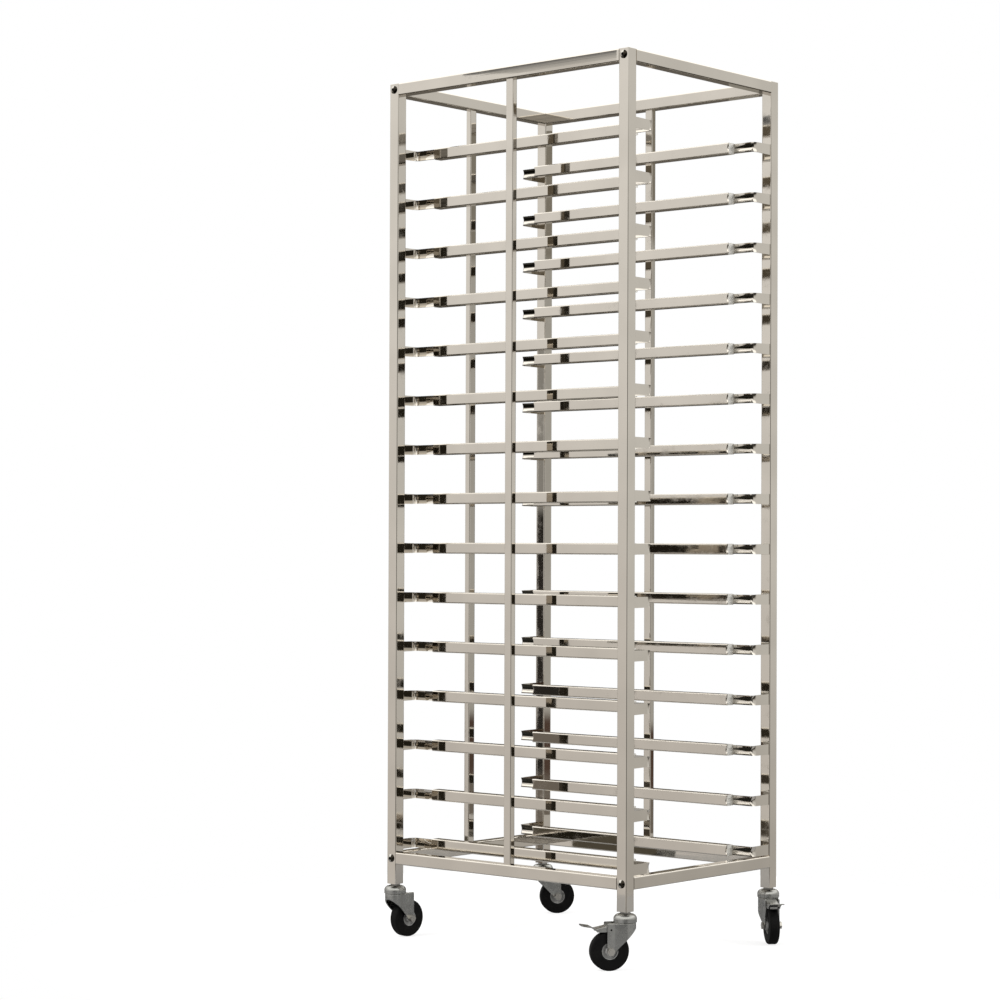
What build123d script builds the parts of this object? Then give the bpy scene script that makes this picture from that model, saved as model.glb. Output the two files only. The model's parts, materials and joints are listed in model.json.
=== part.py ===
from build123d import *
from math import atan, cos, radians, sin, tan
import os

os.makedirs("parts", exist_ok=True)

# Sizes in millimetres. The origin is on the floor under the middle of the frame, X runs across
# the trolley, -Y is its open loading side and +Z is up.
frame_width = 480.0
frame_depth = 620.0
post_length = 1614.0
tube_side = 24.0
tube_wall = 1.2
tube_corner = 2.5
# Length of post that shows below the bottom rails.
post_foot = 40.0
cap_thickness = 1.5
cap_edge_round = 0.7

# Flat bracing tubes half way along the two sides and the back, off the centre line by this much.
brace_face = 18.0
brace_depth = 13.0
brace_corner = 2.0
brace_offset = 8.0

# Tray runners: a square tube with closed ends, from which a strap goes on along the outer side,
# dished on both faces with thick lips, bends out to the posts and is flat where it meets them.
level_count = 15
level_pitch = 100.0
lowest_gap = 1.5
runner_side = 22.0
runner_wall = 1.2
runner_corner = 2.5
runner_outer_face = 166.0
runner_tube_length = 512.0
runner_end_depth = 10.0
mouth_radius = 11.5
mouth_offset = 10.5
mouth_round = 3.0
mouth_lead = 0.2
strap_height = 19.0
strap_root = 4.0
strap_lip = 4.8
strap_inner_dish = 2.0
strap_outer_dish = 1.6
strap_bend = 4.0
strap_lead = 0.2
strap_flattening = 3.5
strap_flat_step = 2.6
strap_flat_height = 20.0
strap_seat_height = 21.0

# Button-head bolts that hold the cross rails between the side frames.
bolt_diameter = 8.0
bolt_grip = 18.0
bolt_head_diameter = 16.0
bolt_head_height = 4.4
bolt_head_rim = 1.0
bolt_socket = 5.0
bolt_socket_depth = 2.4
bolt_clearance = 0.25
nut_plug_length = 22.0

# Castor heights and plan sizes. Each castor is laid out from its swivel axis, with X trailing.
castor_height = 109.0
castor_trail = 31.0
foot_block_height = 24.0
stem_diameter = 12.0
stem_length = 20.0
neck_across_flats = 17.0
neck_height = 3.5
kingpin_diameter = 10.0
kingpin_clearance = 0.06
kingpin_head_diameter = 16.0
kingpin_head_height = 3.0
cup_radius = 22.0
cup_height = 15.5
cup_rim = 4.0
cup_shoulder = 10.0
ball_diameter = 5.0
ball_circle_radius = 16.0
ball_count = 16
ball_clearance = 0.1
race_width = 7.0
swivel_gap = 0.3

# Pressed fork: a round crown whose two cheeks draw in to the wheel.
sheet = 2.5
crown_thickness = 3.0
crown_radius = 20.5
crown_round = 2.0
crown_reach = 23.0
skirt_height = 9.5
cheek_gap = 25.0
cheek_head_margin = 0.5
leg_radius = 6.5

# Wheel.
wheel_diameter = 74.0
tyre_width = 20.0
tyre_edge = 4.0
rim_diameter = 35.0
rim_width = 18.0
rim_thickness = 3.0
web_thickness = 5.0
hub_diameter = 17.0
hub_end_gap = 0.4
axle_diameter = 8.0
axle_clearance = 0.08
hex_across_flats = 13.0
hex_head_height = 5.3
hex_nut_height = 5.0
axle_end = 0.8

# Brake pedal of the two front castors: a channel over the wheel with a foot plate behind.
pedal_pin_along = 30.0
pedal_pin_above_wheel = 3.2
pedal_pin_diameter = 3.6
pedal_pin_clearance = 0.08
pedal_sheet = 2.0
pedal_side_gap = 0.3
pedal_front = 24.5
pedal_front_drop = 2.2
pedal_slope_end = 60.0
pedal_slope_drop = 10.0
pedal_flange_depth = 6.5
pedal_flange_end = 56.0
pedal_rise_end = 68.0
pedal_rise = 4.5
pedal_tip = 86.0
pedal_tip_rise = 7.5
pedal_foot_width = 30.0
pedal_foot_round = 5.0
shoe_front = 44.0
shoe_rear = 52.0
shoe_width = 15.0
shoe_gap = 4.0

# Way each castor trails at rest, in degrees from +X, and whether it has a brake.
castors = {
    "back_left": (-1, 1, -5.0, False),
    "front_left": (-1, -1, 143.0, True),
    "front_right": (1, -1, -132.0, True),
    "back_right": (1, 1, -40.0, False),
}

# Heights and places worked out from the sizes above.
post_x = (frame_width - tube_side) / 2
post_y = (frame_depth - tube_side) / 2
post_top = castor_height + post_length
bottom_rail_low = castor_height + post_foot
bottom_rail_top = bottom_rail_low + tube_side
top_rail_low = post_top - tube_side
rail_heights = {"bottom": bottom_rail_low + tube_side / 2, "top": top_rail_low + tube_side / 2}
axle_height = wheel_diameter / 2
cup_low = castor_height - neck_height - cup_height
crown_top = cup_low - swivel_gap
crown_low = crown_top - crown_thickness
cheek_outer = cheek_gap / 2 + sheet
cheek_rear = castor_trail + leg_radius
cheek_front = castor_trail - hex_across_flats / (2 * cos(radians(30))) - cheek_head_margin
tube_inside = tube_side - 2 * tube_wall
tube_inside_corner = tube_corner - tube_wall


def save(piece, name):
    piece.label = name
    export_step(piece, f"parts/{name}.step")


def make_tube(plane, across, up, wall, corner, length):
    """A rounded box-section tube that runs along the plane's normal."""
    with BuildPart() as tube:
        with BuildSketch(plane):
            RectangleRounded(across, up, corner)
            RectangleRounded(across - 2 * wall, up - 2 * wall, corner - wall, mode=Mode.SUBTRACT)
        extrude(amount=length)
    return tube.part


def corner_points():
    return [(x * post_x, y * post_y) for x, y, _, _ in castors.values()]


# Corner posts, each with bolt holes across it at both rail heights.
for name, (x, y, _, _) in castors.items():
    with BuildPart() as post:
        with BuildSketch(Plane(origin=(x * post_x, y * post_y, castor_height))):
            RectangleRounded(tube_side, tube_side, tube_corner)
            RectangleRounded(tube_inside, tube_inside, tube_inside_corner, mode=Mode.SUBTRACT)
        extrude(amount=post_length - cap_thickness)
        with BuildSketch(Plane(origin=(x * post_x, y * post_y, 0), x_dir=(0, 1, 0), z_dir=(1, 0, 0))):
            with Locations(*[(0, height) for height in rail_heights.values()]):
                Circle(bolt_diameter / 2 + bolt_clearance)
        extrude(amount=tube_side, both=True, mode=Mode.SUBTRACT)
    save(post.part, f"post_{name}")

# Welded caps that close the tops of the posts.
with BuildPart() as post_caps:
    with BuildSketch(Plane.XY.offset(post_top - cap_thickness)):
        with Locations(*corner_points()):
            RectangleRounded(tube_side, tube_side, tube_corner)
    extrude(amount=cap_thickness)
    fillet(post_caps.edges().group_by(Axis.Z)[-1], cap_edge_round)
save(post_caps.part, "post_caps")

# Side rails run between the posts along Y, cross rails along X.
side_rail_length = frame_depth - 2 * tube_side
cross_rail_length = frame_width - 2 * tube_side
for level, height in rail_heights.items():
    for name, x in {"left": -1, "right": 1}.items():
        end = Plane(origin=(x * post_x, -side_rail_length / 2, height), x_dir=(1, 0, 0), z_dir=(0, 1, 0))
        rail = make_tube(end, tube_side, tube_side, tube_wall, tube_corner, side_rail_length)
        save(rail, f"{level}_rail_{name}")
    for name, y in {"front": -1, "back": 1}.items():
        end = Plane(origin=(-cross_rail_length / 2, y * post_y, height), x_dir=(0, 1, 0), z_dir=(1, 0, 0))
        rail = make_tube(end, tube_side, tube_side, tube_wall, tube_corner, cross_rail_length)
        save(rail, f"{level}_rail_{name}")

# Bracing tubes between the rails, each set off its centre line by the same turn round the frame.
brace_length = top_rail_low - bottom_rail_top
braces = {
    "left": (-post_x, -brace_offset, brace_depth, brace_face),
    "back": (-brace_offset, post_y, brace_face, brace_depth),
    "right": (post_x, brace_offset, brace_depth, brace_face),
}
for name, (x, y, across, along) in braces.items():
    foot = Plane(origin=(x, y, bottom_rail_top))
    save(make_tube(foot, across, along, tube_wall, brace_corner, brace_length), f"brace_{name}")

# Tray runners, a left and a right one for each level, counted from the top.
runner_inner_face = runner_outer_face - runner_side
runner_middle_x = runner_outer_face - runner_side / 2
runner_inside = runner_side - 2 * runner_wall
runner_end_y = runner_tube_length / 2
mouth_y = runner_end_y + mouth_offset
strap_start_y = runner_end_y - strap_root
strap_end_x = frame_width / 2 - tube_side
strap_face_y = frame_depth / 2 - tube_corner
strap_turn_y = strap_face_y - strap_lip
bend_end_x = runner_outer_face + strap_bend + strap_lead
lowest_runner_top = bottom_rail_top + lowest_gap + runner_side


def make_strap_section(plane):
    """X of the plane runs from the outer to the inner side and Y along the strap's height."""
    with BuildSketch(plane) as section:
        with BuildLine():
            low, high = (strap_lip, -strap_height / 2), (strap_lip, strap_height / 2)
            inner = ThreePointArc(low, (strap_lip - strap_inner_dish, 0), high)
            upper = Line(inner @ 1, (0, strap_height / 2))
            outer = ThreePointArc(upper @ 1, (strap_outer_dish, 0), (0, -strap_height / 2))
            Line(outer @ 1, inner @ 0)
        make_face()
    return section.sketch


with BuildPart() as runner_pair:
    tube_end = Plane(origin=(runner_middle_x, -runner_end_y, 0), x_dir=(1, 0, 0), z_dir=(0, 1, 0))
    with BuildSketch(tube_end):
        RectangleRounded(runner_side, runner_side, runner_corner)
    extrude(amount=runner_end_y)
    with BuildSketch(tube_end.offset(runner_end_depth)):
        RectangleRounded(runner_inside, runner_inside, runner_corner - runner_wall)
    extrude(amount=runner_end_y, mode=Mode.SUBTRACT)
    # Shallow half-round mouth in the closed end, rounded over on the inner side of the tube.
    mouth = Plane(origin=(0, -mouth_y, 0), x_dir=(1, 0, 0), z_dir=(0, 0, 1))
    with BuildSketch(mouth):
        with BuildLine():
            wall_x = runner_outer_face - runner_wall
            open_x = runner_inner_face - mouth_lead
            wall = Line((wall_x, 0), (wall_x, mouth_radius))
            side = Line(wall @ 1, (runner_inner_face + mouth_round, mouth_radius))
            rim = TangentArc(side @ 1, (open_x, mouth_radius + mouth_round), tangent=(-1, 0))
            Polyline(rim @ 1, (open_x, 0), wall @ 0)
        make_face()
    revolve(axis=Axis(mouth.origin, mouth.x_dir), mode=Mode.SUBTRACT)
    # The strap along the outer side and round the bend.
    with BuildLine():
        FilletPolyline(
            (runner_outer_face, -strap_start_y),
            (runner_outer_face, -strap_turn_y),
            (bend_end_x, -strap_turn_y),
            radius=strap_bend,
        )
    strap_start = (runner_outer_face, -strap_start_y, 0)
    strap_plane = Plane(origin=strap_start, x_dir=(-1, 0, 0), z_dir=(0, -1, 0))
    sweep(sections=make_strap_section(strap_plane))
    # Flat plate from the bend to the post.
    bend_end = Plane(origin=(bend_end_x, -strap_turn_y, 0), x_dir=(0, -1, 0), z_dir=(1, 0, 0))
    plate_end = Plane(origin=(strap_end_x, -strap_face_y, 0), x_dir=(0, -1, 0), z_dir=(1, 0, 0))
    add(make_strap_section(bend_end))
    with BuildSketch(bend_end.offset(strap_flattening)):
        with Locations((strap_flat_step + runner_wall / 2, 0)):
            Rectangle(runner_wall, strap_flat_height)
    with BuildSketch(plate_end):
        with Locations((-runner_wall / 2, 0)):
            Rectangle(runner_wall, strap_seat_height)
    loft(ruled=True)
    mirror(about=Plane.XZ)
    mirror(about=Plane.YZ)

for level in range(level_count):
    top = lowest_runner_top + level_pitch * (level_count - 1 - level)
    with BuildPart() as runners:
        with Locations((0, 0, top - runner_side / 2)):
            add(runner_pair.part)
    save(runners.part, f"runners_level_{level + 1:02d}")

# Bolts through the posts into the ends of the cross rails.
bolt_ends = [(x, y, height) for x in (-1, 1) for y in (-1, 1) for height in rail_heights.values()]


def outward_plane(x, y, height):
    """Lies on the outer face of a post, looking away from the frame along X."""
    return Plane(origin=(x * frame_width / 2, y * post_y, height), x_dir=(0, 1, 0), z_dir=(x, 0, 0))


def axis_plane(face):
    """Holds the normal of a face plane as its Y, for a profile that is turned about it."""
    return Plane(origin=face.origin, x_dir=face.x_dir, z_dir=face.x_dir.cross(face.z_dir))


with BuildPart() as rail_bolts:
    for x, y, height in bolt_ends:
        face = outward_plane(x, y, height)
        with BuildSketch(axis_plane(face)):
            with BuildLine():
                rim = Line((0, 0), (bolt_head_diameter / 2, 0))
                side = Line(rim @ 1, (bolt_head_diameter / 2, bolt_head_rim))
                TangentArc((0, bolt_head_height), side @ 1, tangent=(1, 0))
                Line((0, bolt_head_height), (0, 0))
            make_face()
        revolve(axis=Axis(face.origin, face.z_dir))
        with BuildSketch(face.offset(bolt_head_height - bolt_socket_depth)):
            RegularPolygon(bolt_socket / 2, 6, major_radius=False)
        extrude(amount=bolt_socket_depth, mode=Mode.SUBTRACT)
        with BuildSketch(face):
            Circle(bolt_diameter / 2)
        extrude(amount=-(tube_side + bolt_grip))
save(rail_bolts.part, "rail_bolts")

# Threaded plugs inside the ends of the cross rails.
with BuildPart() as rail_plugs:
    for x, y, height in bolt_ends:
        face = outward_plane(x, y, height).offset(-tube_side)
        with BuildSketch(face):
            RectangleRounded(tube_inside, tube_inside, tube_inside_corner)
            Circle(bolt_diameter / 2, mode=Mode.SUBTRACT)
        extrude(amount=-nut_plug_length)
save(rail_plugs.part, "rail_plugs")

# Threaded blocks in the feet of the posts, and the castor stems screwed into them.
with BuildPart() as foot_blocks:
    with BuildSketch(Plane.XY.offset(castor_height)):
        with Locations(*corner_points()):
            RectangleRounded(tube_inside, tube_inside, tube_inside_corner)
            Circle(stem_diameter / 2, mode=Mode.SUBTRACT)
    extrude(amount=foot_block_height)
save(foot_blocks.part, "foot_blocks")

kingpin_length = crown_thickness + 2 * swivel_gap + cup_height
with BuildPart() as castor_stems:
    with BuildSketch(Plane.XY.offset(castor_height)):
        with Locations(*corner_points()):
            Circle(stem_diameter / 2)
    extrude(amount=stem_length)
    with BuildSketch(Plane.XY.offset(castor_height)):
        with Locations(*corner_points()):
            RegularPolygon(neck_across_flats / 2, 6, major_radius=False)
    extrude(amount=-neck_height)
    with BuildSketch(Plane.XY.offset(castor_height - neck_height)):
        with Locations(*corner_points()):
            Circle(kingpin_diameter / 2)
    extrude(amount=-kingpin_length)
    with BuildSketch(Plane.XY.offset(castor_height - neck_height - kingpin_length)):
        with Locations(*corner_points()):
            Circle(kingpin_head_diameter / 2)
    extrude(amount=-kingpin_head_height)
save(castor_stems.part, "castor_stems")

# Domed ball-race cups, clamped on the stems, with the balls in their raceways.
race_height = ball_diameter + ball_clearance - swivel_gap
with BuildPart() as race_cups:
    for x, y in corner_points():
        with BuildSketch(Plane(origin=(x, y, cup_low), x_dir=(1, 0, 0), z_dir=(0, -1, 0))):
            with BuildLine():
                flat_radius = cup_radius - cup_shoulder
                Polyline(
                    (flat_radius, cup_height),
                    (kingpin_diameter / 2, cup_height),
                    (kingpin_diameter / 2, 0),
                    (ball_circle_radius - race_width / 2, 0),
                    (ball_circle_radius - race_width / 2, race_height),
                    (ball_circle_radius + race_width / 2, race_height),
                    (ball_circle_radius + race_width / 2, 0),
                    (cup_radius, 0),
                    (cup_radius, cup_rim),
                )
                TangentArc((flat_radius, cup_height), (cup_radius, cup_rim), tangent=(1, 0))
            make_face()
        revolve(axis=Axis((x, y, 0), (0, 0, 1)))
save(race_cups.part, "race_cups")

ball_middle = crown_top + ball_clearance + ball_diameter / 2
with BuildPart() as race_balls:
    for x, y in corner_points():
        with Locations(Plane(origin=(x, y, ball_middle))):
            with PolarLocations(ball_circle_radius, ball_count):
                Sphere(ball_diameter / 2)
save(race_balls.part, "race_balls")


def castor_plane(x, y, turn):
    """Stands on the floor under a post, with X the way the castor trails and Y along its axle."""
    trailing = (cos(radians(turn)), sin(radians(turn)), 0)
    return Plane(origin=(x * post_x, y * post_y, 0), x_dir=trailing, z_dir=(0, 0, 1))


def side_plane(place):
    """The castor seen from its side: X trails and Y is up."""
    return Plane(origin=place.origin, x_dir=place.x_dir, z_dir=-place.y_dir)


def draw_crown(radius, half_width, rear):
    """The fork in plan: a round crown that draws in to two level cheeks."""
    Circle(radius)
    Rectangle(cheek_front, 2 * half_width, align=(Align.MIN, Align.CENTER))
    make_hull()
    Rectangle(rear, 2 * half_width, align=(Align.MIN, Align.CENTER))


def make_fork(place, braked):
    side = side_plane(place)
    with BuildPart() as fork:
        with BuildSketch(place):
            draw_crown(crown_radius, cheek_outer, cheek_rear)
        extrude(amount=crown_top)
        fillet(fork.edges().group_by(Axis.Z)[-1], crown_round)
        with BuildSketch(place):
            draw_crown(crown_radius - sheet, cheek_gap / 2, 2 * cheek_rear)
        extrude(amount=crown_low, mode=Mode.SUBTRACT)
        # The crown stops short of the cheeks' rear edges, which stand up as two ears.
        with BuildSketch(place):
            with Locations((crown_reach, 0)):
                Rectangle(2 * cheek_rear, cheek_gap, align=(Align.MIN, Align.CENTER))
        extrude(amount=crown_top, mode=Mode.SUBTRACT)
        with BuildSketch(side):
            with Locations((castor_trail, axle_height)):
                Circle(leg_radius)
            reach = crown_radius + cheek_rear
            with Locations((cheek_rear - reach / 2, crown_top - skirt_height / 2)):
                Rectangle(reach, skirt_height)
            make_hull()
        extrude(amount=crown_radius, both=True, mode=Mode.INTERSECT)
        with BuildSketch(place.offset(crown_low)):
            Circle(kingpin_diameter / 2 + kingpin_clearance)
        extrude(amount=crown_thickness, mode=Mode.SUBTRACT)
        with BuildSketch(side):
            with Locations((castor_trail, axle_height)):
                Circle(axle_diameter / 2)
            if braked:
                with Locations((pedal_pin_along, wheel_diameter + pedal_pin_above_wheel)):
                    Circle(pedal_pin_diameter / 2 + pedal_pin_clearance)
        extrude(amount=cheek_outer, both=True, mode=Mode.SUBTRACT)
    return fork.part


def make_tyre(place):
    axle = side_plane(place)
    middle = axle.from_local_coords((castor_trail, axle_height, 0))
    with BuildPart() as tyre:
        with BuildSketch(Plane(origin=middle, x_dir=-axle.z_dir, z_dir=-axle.x_dir)) as section:
            depth = (wheel_diameter - rim_diameter) / 2
            with Locations((0, rim_diameter / 2 + depth / 2)):
                Rectangle(tyre_width, depth)
            fillet(section.vertices().group_by(Axis.Y)[-1], tyre_edge)
        revolve(axis=Axis(middle, axle.z_dir))
    return tyre.part


def make_wheel_core(place):
    axle = side_plane(place)
    middle = axle.from_local_coords((castor_trail, axle_height, 0))
    bore = axle_diameter / 2 + axle_clearance
    with BuildPart() as core:
        with BuildSketch(Plane(origin=middle, x_dir=-axle.z_dir, z_dir=-axle.x_dir)):
            with Locations((0, (rim_diameter - rim_thickness) / 2)):
                Rectangle(rim_width, rim_thickness)
            with Locations((0, (rim_diameter / 2 + bore) / 2)):
                Rectangle(web_thickness, rim_diameter / 2 - bore)
            with Locations((0, (hub_diameter / 2 + bore) / 2)):
                Rectangle(cheek_gap - 2 * hub_end_gap, hub_diameter / 2 - bore)
        revolve(axis=Axis(middle, axle.z_dir))
    return core.part


def make_axle_bolt(place):
    side = side_plane(place)
    head_face = side.offset(cheek_outer)
    with BuildPart() as bolt:
        with BuildSketch(head_face):
            with Locations((castor_trail, axle_height)):
                RegularPolygon(hex_across_flats / 2, 6, major_radius=False)
        extrude(amount=hex_head_height)
        with BuildSketch(head_face):
            with Locations((castor_trail, axle_height)):
                Circle(axle_diameter / 2)
        extrude(amount=-(2 * cheek_outer + hex_nut_height + axle_end))
    return bolt.part


def make_axle_nut(place):
    with BuildPart() as nut:
        with BuildSketch(side_plane(place).offset(-cheek_outer)):
            with Locations((castor_trail, axle_height)):
                RegularPolygon(hex_across_flats / 2, 6, major_radius=False)
                Circle(axle_diameter / 2, mode=Mode.SUBTRACT)
        extrude(amount=-hex_nut_height)
    return nut.part


def shoe_low(along):
    """Height of the brake shoe's lower face, the shoe gap away from the tread."""
    return axle_height + ((axle_height + shoe_gap) ** 2 - (along - castor_trail) ** 2) ** 0.5


def make_pedal(place):
    side = side_plane(place)
    pin_height = wheel_diameter + pedal_pin_above_wheel
    front_top = crown_top - pedal_front_drop
    rear_top = crown_top - pedal_slope_drop
    slope = atan((front_top - rear_top) / (pedal_slope_end - pedal_front))
    under = pedal_sheet / cos(slope)
    flange_outer = cheek_gap / 2 - pedal_side_gap
    flange_low = rear_top - pedal_flange_depth
    with BuildPart() as pedal:
        with BuildSketch(side):
            with BuildLine():
                Polyline(
                    (pedal_front, front_top),
                    (pedal_slope_end, rear_top),
                    (pedal_slope_end, rear_top - under),
                    (pedal_flange_end, flange_low),
                    (pedal_front, flange_low),
                    close=True,
                )
            make_face()
        extrude(amount=flange_outer, both=True)
        top_face = pedal.faces().sort_by(Axis.Z)[-1]
        fillet(top_face.edges().sort_by(SortBy.LENGTH)[-2:], pedal_sheet)
        with BuildSketch(side):
            with BuildLine():
                Polyline(
                    (pedal_front, front_top - under),
                    (pedal_slope_end, rear_top - under),
                    (pedal_slope_end, flange_low),
                    (pedal_front, flange_low),
                    close=True,
                )
            make_face()
        extrude(amount=flange_outer - pedal_sheet, both=True, mode=Mode.SUBTRACT)
        # Foot plate: a sheet that rises behind the channel, with rounded corners.
        with BuildSketch(side):
            with BuildLine():
                Polyline(
                    (pedal_slope_end - pedal_sheet, rear_top),
                    (pedal_slope_end, rear_top),
                    (pedal_rise_end, rear_top + pedal_rise),
                    (pedal_tip, rear_top + pedal_tip_rise),
                )
                offset(amount=pedal_sheet, side=Side.RIGHT)
            make_face()
        extrude(amount=flange_outer, both=True)
        with BuildSketch(side):
            with BuildLine():
                Polyline(
                    (pedal_rise_end, rear_top + pedal_rise),
                    (pedal_tip, rear_top + pedal_tip_rise),
                )
                offset(amount=pedal_sheet, side=Side.RIGHT)
            make_face()
        extrude(amount=pedal_foot_width / 2, both=True)
        tip_edges = pedal.edges().sort_by(Axis(place.origin, place.x_dir))[-4:]
        fillet(tip_edges.sort_by(SortBy.LENGTH)[:2], pedal_foot_round)
        # Pin that the pedal turns on, held in both cheeks.
        with BuildSketch(side):
            with Locations((pedal_pin_along, pin_height)):
                Circle(pedal_pin_diameter / 2)
        extrude(amount=cheek_outer, both=True)
        # Shoe that the pedal presses on the tyre.
        with BuildSketch(side):
            with BuildLine():
                Polyline(
                    (shoe_front, front_top - (shoe_front - pedal_front) * tan(slope) - under / 2),
                    (shoe_rear, front_top - (shoe_rear - pedal_front) * tan(slope) - under / 2),
                    (shoe_rear, shoe_low(shoe_rear)),
                    (shoe_front, shoe_low(shoe_front)),
                    close=True,
                )
            make_face()
        extrude(amount=shoe_width / 2, both=True)
    return pedal.part


for name, (x, y, turn, braked) in castors.items():
    place = castor_plane(x, y, turn)
    save(make_fork(place, braked), f"fork_{name}")
    save(make_tyre(place), f"tyre_{name}")
    save(make_wheel_core(place), f"wheel_core_{name}")
    save(make_axle_bolt(place), f"axle_bolt_{name}")
    save(make_axle_nut(place), f"axle_nut_{name}")
    if braked:
        save(make_pedal(place), f"brake_pedal_{name}")
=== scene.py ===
import json
from math import cos, pi, sin

import bpy
from mathutils import Matrix, Vector


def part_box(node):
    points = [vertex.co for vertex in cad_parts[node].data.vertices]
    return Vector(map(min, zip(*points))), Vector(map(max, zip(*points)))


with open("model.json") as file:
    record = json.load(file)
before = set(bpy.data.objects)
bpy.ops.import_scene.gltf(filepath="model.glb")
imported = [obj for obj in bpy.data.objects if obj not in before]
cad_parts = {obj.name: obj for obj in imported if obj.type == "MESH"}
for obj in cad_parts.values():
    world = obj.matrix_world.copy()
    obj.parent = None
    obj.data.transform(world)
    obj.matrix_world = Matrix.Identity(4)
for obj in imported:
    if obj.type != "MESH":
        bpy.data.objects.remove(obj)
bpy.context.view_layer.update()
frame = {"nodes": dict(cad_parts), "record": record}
scene = bpy.context.scene
scene.view_settings.view_transform = "Standard"

# Camera of the photograph, in metres and radians.
CAMERA_PLACE = (-3.9509, -3.2988, 0.7941)
CAMERA_YAW = 0.86643
CAMERA_PITCH = 0.0095
CAMERA_ROLL = 0.0032
CAMERA_LENS = 92.05
CAMERA_SHIFT = (-0.06, 0.02)
CAMERA_FAR_END = 50

# Level directions: to the camera, to the left of the picture, and those in which the
# left and the front faces of the trolley mirror the camera's view.
TOWARDS_CAMERA = Vector((-sin(CAMERA_YAW), -cos(CAMERA_YAW), 0))
LEFTWARDS = Vector((-cos(CAMERA_YAW), sin(CAMERA_YAW), 0))
BACK_LEFT = Vector((TOWARDS_CAMERA.x, -TOWARDS_CAMERA.y, 0))
FRONT_RIGHT = -BACK_LEFT

# Places on the trolley, in metres. The pedals' pins are along the trail of their castors.
CORNERS = ("back_left", "front_left", "front_right", "back_right")
BRACES = ("brace_left", "brace_back", "brace_right")
LEVEL_PITCH = 0.1
BOLT_DISTANCE = 0.298
BOLT_HEIGHTS = (0.161, 1.711)
PIN_ALONG, PIN_HEIGHT = 0.03, 0.0772


def connect(tree, socket, value):
    """Links a socket to another one, or gives it a plain value."""
    if isinstance(value, bpy.types.NodeSocket):
        tree.links.new(value, socket)
    else:
        socket.default_value = value


def add(tree, kind, inputs=None, **settings):
    """Adds a node with its settings and with what goes into its sockets."""
    node = tree.nodes.new(kind)
    for name, value in settings.items():
        setattr(node, name, value)
    for key, value in (inputs or {}).items():
        connect(tree, node.inputs[key], value)
    return node


def calculate(tree, operation, *values):
    node = add(tree, "ShaderNodeMath", operation=operation)
    for socket, value in zip(node.inputs, values):
        connect(tree, socket, value)
    return node.outputs[0]


def ramp(tree, value, low, high, bottom=0.0, top=1.0):
    """A smooth step from bottom to top while the value goes from low to high."""
    inputs = {"Value": value, "From Min": low, "From Max": high, "To Min": bottom, "To Max": top}
    return add(tree, "ShaderNodeMapRange", inputs, interpolation_type="SMOOTHSTEP").outputs["Result"]


def window(tree, *steps):
    """A mask that is 1 where each value is past its own smooth step from low to high."""
    mask, *others = [ramp(tree, value, low, high) for value, (low, high) in steps]
    for other in others:
        mask = calculate(tree, "MULTIPLY", mask, other)
    return mask


def blend(tree, factor, first, second):
    """A colour between two others."""
    node = add(tree, "ShaderNodeMix", data_type="RGBA")
    for socket, value in zip((node.inputs[0], node.inputs[6], node.inputs[7]), (factor, first, second)):
        connect(tree, socket, value)
    return node.outputs[2]


def noise(tree, vector, scale, detail=2.0, roughness=0.5):
    inputs = {"Vector": vector, "Scale": scale, "Detail": detail, "Roughness": roughness}
    return add(tree, "ShaderNodeTexNoise", inputs).outputs["Fac"]


def split(tree, vector):
    """The X, Y and Z of a vector, by name."""
    return add(tree, "ShaderNodeSeparateXYZ", {0: vector}).outputs


def combine(tree, operation, *vectors):
    """What vector math makes of some vectors, by name: a Vector or a Value."""
    return add(tree, "ShaderNodeVectorMath", dict(enumerate(vectors)), operation=operation).outputs


def darken(tree, shader, mask, colour):
    """Lays a colour over what already drives the shader's base colour."""
    socket = shader.inputs["Base Color"]
    connect(tree, socket, blend(tree, mask, socket.links[0].from_socket, colour))


def distance_from_axis(tree, place, point, way):
    """Distance from the line through a point along a unit vector."""
    offset = combine(tree, "SUBTRACT", place, point)["Vector"]
    cross = combine(tree, "CROSS_PRODUCT", offset, way)["Vector"]
    return combine(tree, "LENGTH", cross)["Value"]


def empty_tree(block):
    """The node tree of a new material or world, with nothing in it yet."""
    block.use_nodes = True
    block.node_tree.nodes.clear()
    return block.node_tree


def start_material(name):
    """A material with one Principled shader, and the place on the object in metres."""
    material = bpy.data.materials.new(name)
    tree = empty_tree(material)
    shader = add(tree, "ShaderNodeBsdfPrincipled")
    output = add(tree, "ShaderNodeOutputMaterial")
    tree.links.new(shader.outputs["BSDF"], output.inputs["Surface"])
    place = add(tree, "ShaderNodeTexCoord").outputs["Object"]
    return material, tree, shader, place


# Polished stainless steel of the frame, its bolts and the runners.
STEEL = [0.67, 0.63, 0.57]
BOLT_STEEL = [0.5, 0.48, 0.44]
FRAME_ROUGHNESS = 0.03
LINES_ACROSS, LINES_ALONG = 260.0, 3.0


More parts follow.
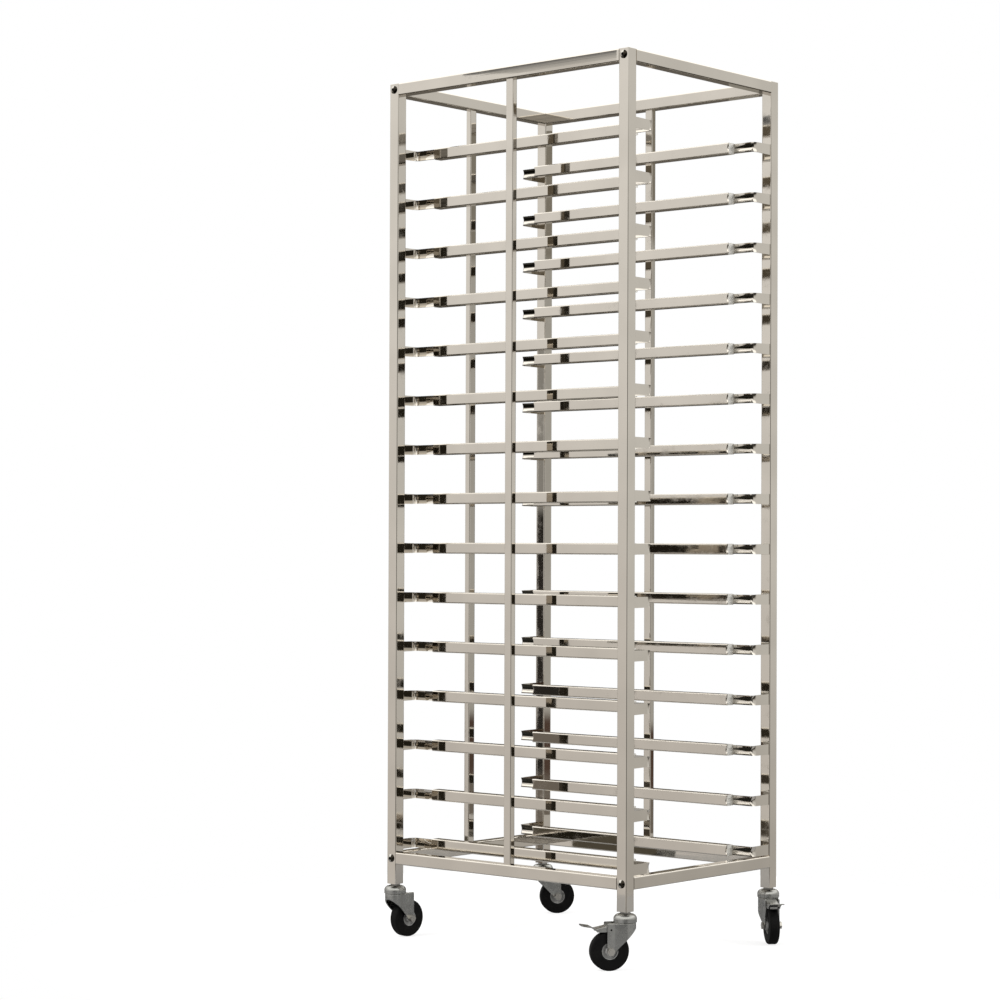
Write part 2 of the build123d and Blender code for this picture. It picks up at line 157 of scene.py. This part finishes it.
def polished_steel(name, colour, grain_axis, roughness, overlay=None):
    """Polished stainless steel with faint drawing lines along the grain axis, if it has one."""
    material, tree, shader, place = start_material(name)
    lines_scale = [LINES_ACROSS] * 3
    if grain_axis is not None:
        lines_scale[grain_axis] = LINES_ALONG
    stretched = add(tree, "ShaderNodeMapping", {"Vector": place, "Scale": lines_scale}).outputs["Vector"]
    lines = noise(tree, stretched, scale=1.0, detail=3.0)
    cloud = noise(tree, place, scale=9.0, detail=3.0)
    smudge = noise(tree, place, scale=38.0, detail=4.0, roughness=0.6)
    tint = blend(tree, ramp(tree, cloud, 0.3, 0.7), [c * 0.93 for c in colour] + [1], colour + [1])
    connect(tree, shader.inputs["Base Color"], tint)
    shader.inputs["Metallic"].default_value = 1.0
    connect(tree, shader.inputs["Roughness"], ramp(tree, smudge, 0.45, 0.75, roughness, roughness + 0.08))
    bump = add(tree, "ShaderNodeBump", {"Height": lines, "Strength": 0.05, "Distance": 0.0004})
    connect(tree, shader.inputs["Normal"], bump.outputs["Normal"])
    # The overlay lays colour on the steel: painted shade on the bolts, braces and runners, and a matt
    # finish in the runners' mouths.
    if overlay:
        overlay(tree, shader, place)
    return material


# Soft edges of the bolts' painted shade: a distance from the axis, and how far a face slants along Y.
SOCKET_EDGE = (0.0032, 0.0028)
SOCKET_PAINTED_SHADE = [0.02, 0.018, 0.015, 1]
SHADED_SLANT = (-0.1, -0.22)
SHADED_COLOUR = [0.03, 0.026, 0.02, 1]


def bolt_painted_shade(tree, shader, place):
    """Painted shade in the sockets, and a painted dark reflection on the heads where they slant to the
    front.
    """
    at = split(tree, place)
    across = calculate(tree, "SUBTRACT", calculate(tree, "ABSOLUTE", at["Y"]), BOLT_DISTANCE)
    above = calculate(tree, "ABSOLUTE", calculate(tree, "SUBTRACT", at["Z"], sum(BOLT_HEIGHTS) / 2))
    above = calculate(tree, "SUBTRACT", above, (BOLT_HEIGHTS[1] - BOLT_HEIGHTS[0]) / 2)
    squares = (calculate(tree, "POWER", side, 2.0) for side in (across, above))
    away = calculate(tree, "SQRT", calculate(tree, "ADD", *squares))
    # Painted shade in the socket recess.
    darken(tree, shader, ramp(tree, away, *SOCKET_EDGE), SOCKET_PAINTED_SHADE)
    normal = add(tree, "ShaderNodeNewGeometry").outputs["Normal"]
    slant = split(tree, normal)["Y"]
    # Painted dark reflection where a head slants to the front.
    darken(tree, shader, ramp(tree, slant, *SHADED_SLANT), SHADED_COLOUR)


# Soft edges on the runners, as distances along Y and across X from the trolley's middle.
MOUTH_ALONG = ((0.2535, 0.2542), (0.2568, 0.2563))
MOUTH_ACROSS = ((0.1652, 0.1645), (0.1455, 0.147))
MOUTH_COLOUR = [0.62, 0.61, 0.57, 1]
STRAP_ALONG = (0.2575, 0.2595)
STRAP_ACROSS = (0.1644, 0.1636)
# The middle height of the straps at the top level, and the shape of their groove and lips.
GROOVE_LEVEL = sum(corner[2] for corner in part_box("runners_level_01")) / 2 - 0.0005
GROOVE_HALF, GROOVE_SLOPE, DISH_RADIUS = 0.0065, 0.9, 0.0226
# Where the straps' lower lip starts, and how strongly its painted shade darkens it.
LIP_EDGE, LIP_SHADE = (-0.0066, -0.0078), 0.9
# The painted shade band on the straps starts narrow at the front, and widens along the bend.
BAND_PAINTED_SHADE = [0.03, 0.028, 0.022, 1]
BAND_SOFTNESS = 0.0006
BAND_WIDENS = (0.258, 0.294)
BACK_BEGINS = (0.0, 0.01)
BAND_TOP, TOP_RISES, TOP_RISES_BEHIND = 0.0035, 0.0045, 0.0025
BAND_BOTTOM, BOTTOM_RISES = 0.001, -0.0015


def runner_finish_and_painted_shade(tree, shader, place):
    """Tubes with mouths that are blasted matt, and straps with a deep groove, a painted shade band and
    painted shade on the lower lip.
    """
    at = split(tree, place)
    along = calculate(tree, "ABSOLUTE", at["Y"])
    across = calculate(tree, "ABSOLUTE", at["X"])
    matt = window(
        tree,
        (along, MOUTH_ALONG[0]),
        (across, MOUTH_ACROSS[0]),
        (along, MOUTH_ALONG[1]),
        (across, MOUTH_ACROSS[1]),
    )
    darken(tree, shader, matt, MOUTH_COLOUR)
    connect(tree, shader.inputs["Metallic"], calculate(tree, "SUBTRACT", 1.0, matt))

    height = calculate(tree, "SUBTRACT", at["Z"], GROOVE_LEVEL)
    level = calculate(tree, "WRAP", height, LEVEL_PITCH / 2, -LEVEL_PITCH / 2)
    strap = window(tree, (along, STRAP_ALONG), (across, STRAP_ACROSS))
    groove_bump(tree, shader, level, strap)

    # Painted shade: a dark band over the upper half of the straps' groove.
    back = ramp(tree, at["Y"], *BACK_BEGINS)
    wide = calculate(tree, "MAXIMUM", back, ramp(tree, along, *BAND_WIDENS))
    top = calculate(tree, "MULTIPLY_ADD", back, TOP_RISES_BEHIND, BAND_TOP)
    top = calculate(tree, "MULTIPLY_ADD", wide, TOP_RISES, top)
    bottom = calculate(tree, "MULTIPLY_ADD", wide, BOTTOM_RISES, BAND_BOTTOM)
    over = calculate(tree, "SUBTRACT", level, bottom)
    under = calculate(tree, "SUBTRACT", level, top)
    band = calculate(tree, "MULTIPLY", ramp(tree, over, -BAND_SOFTNESS, BAND_SOFTNESS), strap)
    band = calculate(tree, "MULTIPLY", band, ramp(tree, under, BAND_SOFTNESS, -BAND_SOFTNESS))
    # Painted shade on the straps' lower lip.
    lip = calculate(tree, "MULTIPLY", ramp(tree, level, *LIP_EDGE), strap)
    dark = calculate(tree, "MAXIMUM", band, calculate(tree, "MULTIPLY", lip, LIP_SHADE))
    darken(tree, shader, dark, BAND_PAINTED_SHADE)


def groove_bump(tree, shader, level, strap):
    """Shades the straps' dish as a deeper groove between flat lips."""
    inside = calculate(tree, "MINIMUM", calculate(tree, "ABSOLUTE", level), GROOVE_HALF)
    steepness = GROOVE_SLOPE / 2 / GROOVE_HALF
    deep = calculate(tree, "MULTIPLY", calculate(tree, "POWER", inside, 2.0), steepness)
    dished = calculate(tree, "MULTIPLY", calculate(tree, "POWER", level, 2.0), 1 / 2 / DISH_RADIUS)
    groove = calculate(tree, "MULTIPLY", calculate(tree, "SUBTRACT", deep, dished), strap)
    lines = shader.inputs["Normal"].links[0].from_socket
    inputs = {"Height": groove, "Strength": 1.0, "Distance": 1.0, "Normal": lines}
    bump = add(tree, "ShaderNodeBump", inputs)
    connect(tree, shader.inputs["Normal"], bump.outputs["Normal"])


# Soft edges of the painted shade along a brace's corner, as distances in from its right and front faces.
CORNER_SHADE_FROM_RIGHT = (0.0022, 0.0016)
CORNER_SHADE_FROM_FRONT = (0.0019, 0.0015)
CORNER_PAINTED_SHADE = [0.06, 0.055, 0.045, 1]


def brace_corner_painted_shade(node):
    """Painted shade along the corner of a brace that faces the front and the right."""
    low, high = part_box(node)
    right_edge = [high[0] - inset for inset in CORNER_SHADE_FROM_RIGHT]
    front_edge = [low[1] + inset for inset in CORNER_SHADE_FROM_FRONT]

    def overlay(tree, shader, place):
        at = split(tree, place)
        shaded_corner = window(tree, (at["X"], right_edge), (at["Y"], front_edge))
        # Painted shade over the corner's reflection.
        darken(tree, shader, shaded_corner, CORNER_PAINTED_SHADE)

    return overlay


ZINC = [0.38, 0.38, 0.365]
STEM_ZINC = [0.3, 0.29, 0.27]
PIN_EDGE = (0.0021, 0.0018)
# RIM_EDGE is where the tyre's painted shadow starts on a wheel core.
RIM_EDGE = (0.0152, 0.0158)
NEAR_BLACK = [0.01, 0.01, 0.01, 1]


def zinc_plate(name, colour, axis=None):
    """Pressed steel with a dull bright zinc coat. The end of a pin on the axis is dark."""
    material, tree, shader, place = start_material(name)
    cloud = noise(tree, place, scale=60.0, detail=4.0, roughness=0.6)
    speck = noise(tree, place, scale=700.0)
    tint = blend(tree, ramp(tree, cloud, 0.35, 0.7), [c * 0.84 for c in colour] + [1], colour + [1])
    connect(tree, shader.inputs["Base Color"], tint)
    shader.inputs["Metallic"].default_value = 1.0
    connect(tree, shader.inputs["Roughness"], ramp(tree, cloud, 0.3, 0.75, 0.2, 0.34))
    bump = add(tree, "ShaderNodeBump", {"Height": speck, "Strength": 0.04, "Distance": 0.0002})
    connect(tree, shader.inputs["Normal"], bump.outputs["Normal"])
    if axis:
        away = distance_from_axis(tree, place, *axis)
        darken(tree, shader, ramp(tree, away, *PIN_EDGE), NEAR_BLACK)
    return material


def moulded(name, colour, worn, roughness, grain, axis=None):
    """Plastic or rubber with a faint grain and dusty patches. Round an axis, its rim gets a near black
    painted shadow of the tyre.
    """
    material, tree, shader, place = start_material(name)
    dust = noise(tree, place, scale=45.0, detail=5.0, roughness=0.65)
    speck = noise(tree, place, scale=grain)
    tint = blend(tree, ramp(tree, dust, 0.42, 0.8), colour + [1], worn + [1])
    connect(tree, shader.inputs["Base Color"], tint)
    connect(tree, shader.inputs["Roughness"], ramp(tree, dust, 0.35, 0.75, roughness, roughness + 0.12))
    shader.inputs["Specular IOR Level"].default_value = 0.12
    bump = add(tree, "ShaderNodeBump", {"Height": speck, "Strength": 0.2, "Distance": 0.0003})
    connect(tree, shader.inputs["Normal"], bump.outputs["Normal"])
    # Painted shadow of the tyre: near black beyond a radius from the axis.
    if axis:
        away = distance_from_axis(tree, place, *axis)
        darken(tree, shader, ramp(tree, away, *RIM_EDGE), NEAR_BLACK)
    return material


def middle(node):
    low, high = (Vector(corner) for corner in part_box(node))
    return (low + high) / 2


steel_along = [polished_steel("steel_" + "xyz"[axis], STEEL, axis, FRAME_ROUGHNESS) for axis in range(3)]
bolt_steel = polished_steel("bolt_steel", BOLT_STEEL, None, 0.16)

# Materials by the slot that the record gives each node.
slot_materials = {
    "cap_steel": polished_steel("cap_steel", STEEL, None, 0.12),
    "bolt_steel": bolt_steel,
    "ball_steel": bolt_steel,
    "castor_zinc": zinc_plate("castor_zinc", ZINC),
    "stem_zinc": zinc_plate("stem_zinc", STEM_ZINC),
    "tyre_black": moulded("tyre_black", [0.003, 0.003, 0.003], [0.009, 0.0086, 0.0082], 0.6, 1200.0),
}

# Materials of single nodes, which go before those of the slots.
# The rail bolts get painted shade in their sockets and a painted dark reflection on their heads.
node_materials = {"rail_bolts": polished_steel("rail_bolt_steel", BOLT_STEEL, None, 0.08, bolt_painted_shade)}
# Each brace gets painted shade along its front right corner.
for node in BRACES:
    node_materials[node] = polished_steel("steel_" + node, STEEL, 2, FRAME_ROUGHNESS, brace_corner_painted_shade(node))

# The runners get matt mouths, and painted shade in the groove and on the lower lip of their straps.
runner_steel = polished_steel("runner_steel", STEEL, 1, FRAME_ROUGHNESS, runner_finish_and_painted_shade)
for node in frame["nodes"]:
    if node.startswith("runners_level"):
        node_materials[node] = runner_steel

WHEEL_GREY, WHEEL_WORN = [0.4, 0.4, 0.39], [0.5, 0.49, 0.47]
for corner in CORNERS:
    wheel, post = middle("tyre_" + corner), middle("post_" + corner)
    trail = (wheel - post) * Vector((1, 1, 0))
    trail.normalize()
    axle = trail.cross(Vector((0, 0, 1)))
    # Each wheel core gets the tyre's painted shadow on its rim.
    grey = moulded("wheel_grey_" + corner, WHEEL_GREY, WHEEL_WORN, 0.35, 900.0, (wheel, axle))
    node_materials["wheel_core_" + corner] = grey
    pedal = "brake_pedal_" + corner
    if pedal in frame["nodes"]:
        pin = post + trail * PIN_ALONG
        pin.z = PIN_HEIGHT
        node_materials[pedal] = zinc_plate("pedal_zinc_" + corner, ZINC, (pin, axle))


def drawn_axis(node):
    """The axis along which a tube of the frame was drawn."""
    if "rail_front" in node or "rail_back" in node:
        return 0
    if "rail_left" in node or "rail_right" in node:
        return 1
    return 2


def material_for(node, slot):
    if node in node_materials:
        return node_materials[node]
    if slot == "frame_steel":
        return steel_along[drawn_axis(node)]
    return slot_materials[slot]


record_slots = {entry["node"]: entry["material_slot"] for entry in frame["record"]["subparts"]}
for name, node in frame["nodes"].items():
    for slot in node.material_slots:
        slot.material = material_for(name, record_slots[name])


# What metal sees round the trolley. Each pair of numbers is a soft step between two heights
# of the direction that it looks in, or between two turns to the left or to the camera.
LEFT_LOW, LEFT_HIGH = [0.72, 0.69, 0.66, 1], [0.96, 0.945, 0.92, 1]
RIGHT_LOW, RIGHT_HIGH = [0.5, 0.48, 0.45, 1], [0.76, 0.75, 0.72, 1]
CEILING, ZENITH, BELOW = [1.7, 1.68, 1.62, 1], [0.1, 0.095, 0.08, 1], [0.07, 0.065, 0.055, 1]
BEYOND_LOW, BEYOND_MIDDLE = [0.14, 0.125, 0.105, 1], [0.025, 0.022, 0.017, 1]
BEYOND_HIGH = [0.2, 0.175, 0.135, 1]
SHADE = [0.03, 0.027, 0.02, 1]
LEFT_RISES, RIGHT_RISES, SIDES_MEET = (-0.12, 0.16), (-0.17, 0.02), (-0.3, 0.3)
CEILING_FROM, ZENITH_FROM, BELOW_FROM = (0.26, 0.5), (0.84, 0.92), (-0.17, -0.3)
BEYOND_MIDDLE_FROM, BEYOND_HIGH_FROM = (-0.15, -0.04), (0.05, 0.14)
BEYOND_FACING, BEYOND_UP_TO = (-0.7, -0.9), (0.4, 0.25)
SHADE_FACING, SHADE_UP_TO = (0.86, 0.97), (0.2, 0.12)
WHITE = [1, 1, 1, 1]
LIGHTING = [0.82, 0.81, 0.8, 1]


def build_world():
    """White to the camera. Metal sees a pale studio that is dark behind the camera."""
    world = bpy.data.worlds.new("studio")
    scene.world = world
    tree = empty_tree(world)
    direction = add(tree, "ShaderNodeTexCoord").outputs["Generated"]
    height = split(tree, direction)["Z"]
    facing, sideways = (
        combine(tree, "DOT_PRODUCT", direction, way)["Value"] for way in (TOWARDS_CAMERA, LEFTWARDS)
    )

    left = blend(tree, ramp(tree, height, *LEFT_RISES), LEFT_LOW, LEFT_HIGH)
    right = blend(tree, ramp(tree, height, *RIGHT_RISES), RIGHT_LOW, RIGHT_HIGH)
    room = blend(tree, ramp(tree, sideways, *SIDES_MEET), right, left)
    room = blend(tree, ramp(tree, height, *CEILING_FROM), room, CEILING)
    room = blend(tree, ramp(tree, height, *ZENITH_FROM), room, ZENITH)
    room = blend(tree, ramp(tree, height, *BELOW_FROM), room, BELOW)
    beyond = blend(tree, ramp(tree, height, *BEYOND_MIDDLE_FROM), BEYOND_LOW, BEYOND_MIDDLE)
    beyond = blend(tree, ramp(tree, height, *BEYOND_HIGH_FROM), beyond, BEYOND_HIGH)
    behind = window(tree, (facing, BEYOND_FACING), (height, BEYOND_UP_TO))
    room = blend(tree, behind, room, beyond)
    before = window(tree, (facing, SHADE_FACING), (height, SHADE_UP_TO))
    room = blend(tree, before, room, SHADE)

    path = add(tree, "ShaderNodeLightPath").outputs
    seen_colour = blend(tree, path["Is Camera Ray"], room, WHITE)
    seen = calculate(tree, "MAXIMUM", path["Is Camera Ray"], path["Is Glossy Ray"])
    seen = calculate(tree, "MAXIMUM", seen, path["Is Transmission Ray"])
    lighting = add(tree, "ShaderNodeBackground", {"Color": LIGHTING})
    picture = add(tree, "ShaderNodeBackground", {"Color": seen_colour})
    mixed = add(tree, "ShaderNodeMixShader", {0: seen, 1: lighting.outputs[0], 2: picture.outputs[0]})
    output = add(tree, "ShaderNodeOutputWorld")
    tree.links.new(mixed.outputs[0], output.inputs["Surface"])


build_world()

FLOOR_RADIUS = 1.1
FLOOR_SIDES = 96
FLOOR_MATT = [0.3, 0.3, 0.3, 1]
FLOOR_GLOW = 0.75
FLOOR_GLOW_IN_METAL = 0.08


def build_floor():
    """A round pale floor that stays white to the camera and keeps the shadow."""
    mesh = bpy.data.meshes.new("floor")
    turns = [2 * pi * i / FLOOR_SIDES for i in range(FLOOR_SIDES)]
    rim = [(FLOOR_RADIUS * cos(a), FLOOR_RADIUS * sin(a), 0) for a in turns]
    mesh.from_pydata(rim, [], [range(FLOOR_SIDES)])
    floor = bpy.data.objects.new("floor", mesh)
    scene.collection.objects.link(floor)
    material = bpy.data.materials.new("floor")
    tree = empty_tree(material)
    path = add(tree, "ShaderNodeLightPath").outputs
    mirrored = calculate(tree, "MAXIMUM", path["Is Glossy Ray"], path["Is Transmission Ray"])
    mirrored = calculate(tree, "MULTIPLY", mirrored, FLOOR_GLOW_IN_METAL)
    strength = calculate(tree, "MULTIPLY_ADD", path["Is Camera Ray"], FLOOR_GLOW, mirrored)
    glow = add(tree, "ShaderNodeEmission", {"Color": WHITE, "Strength": strength})
    matt = add(tree, "ShaderNodeBsdfDiffuse", {"Color": FLOOR_MATT})
    both = add(tree, "ShaderNodeAddShader", {0: glow.outputs[0], 1: matt.outputs[0]})
    output = add(tree, "ShaderNodeOutputMaterial")
    tree.links.new(both.outputs[0], output.inputs["Surface"])
    mesh.materials.append(material)


build_floor()

LIGHT_SIZE = 2.4
LIGHT_TARGET = Vector((0, 0, 0.8))


def soft_light(name, place, power):
    """A wide lamp turned to the middle of the trolley, which metal doesn't mirror."""
    data = bpy.data.lights.new(name, "AREA")
    data.shape = "DISK"
    data.size = LIGHT_SIZE
    data.energy = power
    light = bpy.data.objects.new(name, data)
    scene.collection.objects.link(light)
    light.location = place
    light.visible_glossy = False
    light.rotation_euler = (LIGHT_TARGET - Vector(place)).to_track_quat("-Z", "Y").to_euler()


soft_light("key", (-3.2, 1.2, 3.6), 150)
soft_light("fill", (1.6, -3.4, 2.8), 90)

FLAG_REACH = 0.4


def studio_flag(name, way, start, end, bands, top, blur=0.02, rise=0.0):
    """A card beside the trolley that only its metal sees, with bands of tone by height.

    It stands off in the given way, parallel to the line from start to end on the trolley,
    which mirrors it. Each band is a height and the tone from there up. The rise lifts the
    card's lower edge at its start.
    """
    near, far = (Vector((x, y, 0)) + way * FLAG_REACH for x, y in (start, end))
    low, high, lift = (Vector((0, 0, z)) for z in (bands[0][0], top, rise))
    mesh = bpy.data.meshes.new(name)
    mesh.from_pydata([near + low + lift, far + low, far + high, near + high], [], [range(4)])
    flag = bpy.data.objects.new(name, mesh)
    scene.collection.objects.link(flag)
    flag.visible_camera = flag.visible_diffuse = flag.visible_shadow = False
    material = bpy.data.materials.new(name)
    tree = empty_tree(material)
    place = add(tree, "ShaderNodeTexCoord").outputs["Object"]
    height = split(tree, place)["Z"]
    tone = bands[0][1] + [1]
    for edge, colour in bands[1:]:
        tone = blend(tree, ramp(tree, height, edge - blur, edge + blur), tone, colour + [1])
    glow = add(tree, "ShaderNodeEmission", {"Color": tone, "Strength": 1.0})
    output = add(tree, "ShaderNodeOutputMaterial")
    tree.links.new(glow.outputs[0], output.inputs["Surface"])
    mesh.materials.append(material)


BLACK, DARK, RUST = [0.03, 0.027, 0.024], [0.1, 0.088, 0.065], [0.1, 0.065, 0.05]
BROWN, OLIVE, GREY = [0.2, 0.175, 0.15], [0.28, 0.26, 0.22], [0.33, 0.32, 0.3]
PALE, PALER, PALEST = [0.49, 0.48, 0.45], [0.55, 0.54, 0.52], [0.8, 0.78, 0.75]
SLATE, CHARCOAL = [0.3, 0.295, 0.29], [0.14, 0.14, 0.14]
POST_BANDS = [(0.0, BROWN), (0.26, BLACK), (0.87, GREY)]
RUNNER_BANDS = [(0.16, BROWN), (0.4, BLACK)]
FOOT_BANDS = [(0.06, DARK)]
SIDE_BANDS = [(0.17, BROWN), (0.26, RUST), (0.4, PALE), (1.45, OLIVE)]
TOP_BANDS = [(1.76, PALEST), (1.782, PALER), (1.79, SLATE), (1.795, CHARCOAL)]

# The two points of each card are the ends of the stretch of the trolley that mirrors it.
studio_flag("flag_post", BACK_LEFT, (0.216, 0.284), (0.216, 0.312), POST_BANDS, 1.25)
studio_flag("flag_runner", BACK_LEFT, (0.144, 0.175), (0.144, 0.262), RUNNER_BANDS, 0.5)
studio_flag("flag_foot", BACK_LEFT * 1.3, (0.144, 0.0), (0.144, 0.262), FOOT_BANDS, 0.15)
studio_flag("flag_side", FRONT_RIGHT, (0.057, 0.086), (0.235, 0.296), SIDE_BANDS, 1.75)
studio_flag("flag_top", BACK_LEFT, (-0.24, 0.13), (-0.24, -0.292), TOP_BANDS, 1.811, blur=0.003, rise=0.034)


def build_camera():
    data = bpy.data.cameras.new("camera")
    data.lens = CAMERA_LENS
    data.shift_x, data.shift_y = CAMERA_SHIFT
    data.clip_end = CAMERA_FAR_END
    camera = bpy.data.objects.new("camera", data)
    scene.collection.objects.link(camera)
    level = Vector((cos(CAMERA_YAW), -sin(CAMERA_YAW), 0))
    forward = -TOWARDS_CAMERA * cos(CAMERA_PITCH) + Vector((0, 0, sin(CAMERA_PITCH)))
    upward = level.cross(forward)
    right = level * cos(CAMERA_ROLL) + upward * sin(CAMERA_ROLL)
    top = upward * cos(CAMERA_ROLL) - level * sin(CAMERA_ROLL)
    turn = Matrix((right, top, -forward)).transposed().to_4x4()
    camera.matrix_world = Matrix.Translation(CAMERA_PLACE) @ turn
    scene.camera = camera


build_camera()
